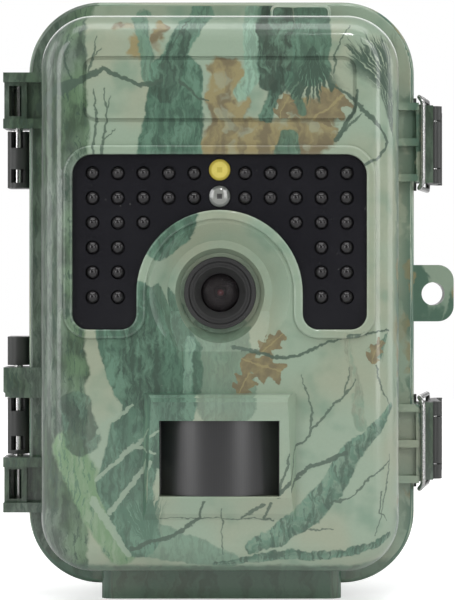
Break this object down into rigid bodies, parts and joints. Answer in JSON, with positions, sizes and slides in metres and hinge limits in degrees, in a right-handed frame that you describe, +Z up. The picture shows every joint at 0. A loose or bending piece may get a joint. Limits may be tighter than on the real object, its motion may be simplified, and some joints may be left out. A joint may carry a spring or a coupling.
{
  "type": "trail camera",
  "caption": "Trail camera in a two-part camouflage case that hinges open, with infrared lamps round a wide lens, a hooded motion sensor, wire latches, a padlock lug and a tree bracket.",
  "frame": {"origin": "centre of the tripod thread's mouth in the foot, on the bottom face", "axes": "+Z up the case; the lens looks along -Y; +X towards the latches, away from the hinge"},
  "size_m": [0.1026, 0.0752, 0.136],
  "materials": {
    "camo_front": "glossy film-printed woodland camouflage over moulded plastic",
    "camo_rear": "glossy film-printed woodland camouflage over moulded plastic",
    "lamp_panel": "smoked polished plastic",
    "lamp_dome": "dark infrared-pass epoxy",
    "circuit_board": "green solder mask with black components",
    "status_lamp": "clear yellow epoxy",
    "sensor_lamp": "water-clear epoxy",
    "bezel_black": "satin moulded black",
    "lens_glass": "coated glass with a magenta reflection",
    "lens_metal": "black anodised",
    "inner_black": "moulded black",
    "sensor_chip": "silicon under glass",
    "motion_lens": "dark translucent polyethylene with fine vertical ribs",
    "pir_can": "plain steel can",
    "inner_panel": "fine-grained moulded plastic",
    "screen_module": "display module",
    "screen_cover": "clear cover over an unlit screen",
    "zinc_screw": "zinc-plated steel",
    "socket_metal": "stamped steel shell",
    "speaker_black": "black",
    "gold_contact": "gold-plated",
    "seal_rubber": "soft black silicone",
    "insert_brass": "turned brass",
    "tray_black": "moulded black",
    "cell_can": "printed wrap over a steel can with bare steel ends",
    "contact_plate": "nickel-plated steel",
    "spring_wire": "nickel-plated spring wire",
    "bracket_black": "grained moulded black",
    "hinge_black": "satin moulded black",
    "hinge_pin": "drawn stainless steel",
    "latch_black": "satin moulded black",
    "bail_wire": "drawn stainless wire",
    "switch_red": "moulded red",
    "card_blue": "moulded dark blue with a paper label",
    "key_rubber": "silicone key"
  },
  "bodies": {
    "rear": {"rear_case": "camo_rear", "door_seal": "seal_rubber", "tripod_insert": "insert_brass", "battery_tray": "tray_black", "battery_cells": "cell_can", "battery_contacts": "contact_plate", "battery_springs": "spring_wire", "power_contacts": "gold_contact", "tree_bracket": "bracket_black", "tray_screws": "zinc_screw", "bracket_screws": "zinc_screw", "upper_hinge_block": "hinge_black", "lower_hinge_block": "hinge_black", "lower_hinge_cap": "hinge_black", "upper_hinge_pin": "hinge_pin", "lower_hinge_pin": "hinge_pin", "upper_latch_base": "latch_black", "lower_latch_base": "latch_black", "upper_latch_pin": "hinge_pin", "lower_latch_pin": "hinge_pin", "latch_screws": "zinc_screw"},
    "door": {"front_housing": "camo_front", "ir_window": "lamp_panel", "ir_leds": "lamp_dome", "led_board": "circuit_board", "status_led": "status_lamp", "light_sensor": "sensor_lamp", "lens_bezel": "bezel_black", "lens_glass": "lens_glass", "lens_barrel": "lens_metal", "lens_holder": "inner_black", "image_sensor": "sensor_chip", "pir_lens": "motion_lens", "pir_sensor": "pir_can", "main_board": "circuit_board", "inner_frame": "inner_panel", "lcd_panel": "screen_module", "lcd_window": "screen_cover", "frame_screws": "zinc_screw", "keypad_board": "circuit_board", "card_slot": "socket_metal", "usb_port": "socket_metal", "speaker": "speaker_black", "microphone": "speaker_black", "power_pins": "gold_contact"},
    "upper_lever": {"upper_latch_lever": "latch_black"},
    "upper_bail": {"upper_latch_bail": "bail_wire"},
    "lower_lever": {"lower_latch_lever": "latch_black"},
    "lower_bail": {"lower_latch_bail": "bail_wire"},
    "menu_key": {"menu_button": "key_rubber"},
    "play_key": {"play_button": "key_rubber"},
    "ok_key": {"ok_button": "key_rubber"},
    "up_key": {"up_button": "key_rubber"},
    "down_key": {"down_button": "key_rubber"},
    "left_key": {"left_button": "key_rubber"},
    "right_key": {"right_button": "key_rubber"},
    "mode_slider": {"mode_switch": "switch_red"},
    "card": {"memory_card": "card_blue"}
  },
  "joints": [
    {"name": "door_hinge", "type": "hinge", "parent": "rear", "child": "door", "pos_m": [-0.0469, -0.0121, 0.07], "axis": [0, 0, -1], "range_deg": [0, 150]},
    {"name": "upper_lever_hinge", "type": "hinge", "parent": "rear", "child": "upper_lever", "pos_m": [0.04915, -0.0066, 0.1038], "axis": [0, 0, -1], "range_deg": [0, 120]},
    {"name": "upper_bail_hinge", "type": "hinge", "parent": "upper_lever", "child": "upper_bail", "pos_m": [0.04825, 0.001, 0.1038], "axis": [0, 0, 1], "range_deg": [0, 175]},
    {"name": "lower_lever_hinge", "type": "hinge", "parent": "rear", "child": "lower_lever", "pos_m": [0.04915, -0.0066, 0.0353], "axis": [0, 0, -1], "range_deg": [0, 120]},
    {"name": "lower_bail_hinge", "type": "hinge", "parent": "lower_lever", "child": "lower_bail", "pos_m": [0.04825, 0.001, 0.0353], "axis": [0, 0, 1], "range_deg": [0, 175]},
    {"name": "menu_press", "type": "slide", "parent": "door", "child": "menu_key", "axis": [0, -1, 0], "range_m": [0, 0.0005], "stiffness_N_per_m": 150},
    {"name": "play_press", "type": "slide", "parent": "door", "child": "play_key", "axis": [0, -1, 0], "range_m": [0, 0.0005], "stiffness_N_per_m": 150},
    {"name": "ok_press", "type": "slide", "parent": "door", "child": "ok_key", "axis": [0, -1, 0], "range_m": [0, 0.0005], "stiffness_N_per_m": 150},
    {"name": "up_press", "type": "slide", "parent": "door", "child": "up_key", "axis": [0, -1, 0], "range_m": [0, 0.0005], "stiffness_N_per_m": 150},
    {"name": "down_press", "type": "slide", "parent": "door", "child": "down_key", "axis": [0, -1, 0], "range_m": [0, 0.0005], "stiffness_N_per_m": 150},
    {"name": "left_press", "type": "slide", "parent": "door", "child": "left_key", "axis": [0, -1, 0], "range_m": [0, 0.0005], "stiffness_N_per_m": 150},
    {"name": "right_press", "type": "slide", "parent": "door", "child": "right_key", "axis": [0, -1, 0], "range_m": [0, 0.0005], "stiffness_N_per_m": 150},
    {"name": "mode_slide", "type": "slide", "parent": "door", "child": "mode_slider", "axis": [0, 0, 1], "range_m": [0, 0.007]},
    {"name": "card_pull", "type": "slide", "parent": "door", "child": "card", "axis": [0, 1, 0], "range_m": [0, 0.01]}
  ],
  "couplings": [
    {"joint": "upper_bail_hinge", "follows": "upper_lever_hinge", "ratio": 1.15},
    {"joint": "lower_bail_hinge", "follows": "lower_lever_hinge", "ratio": 1.15}
  ]
}
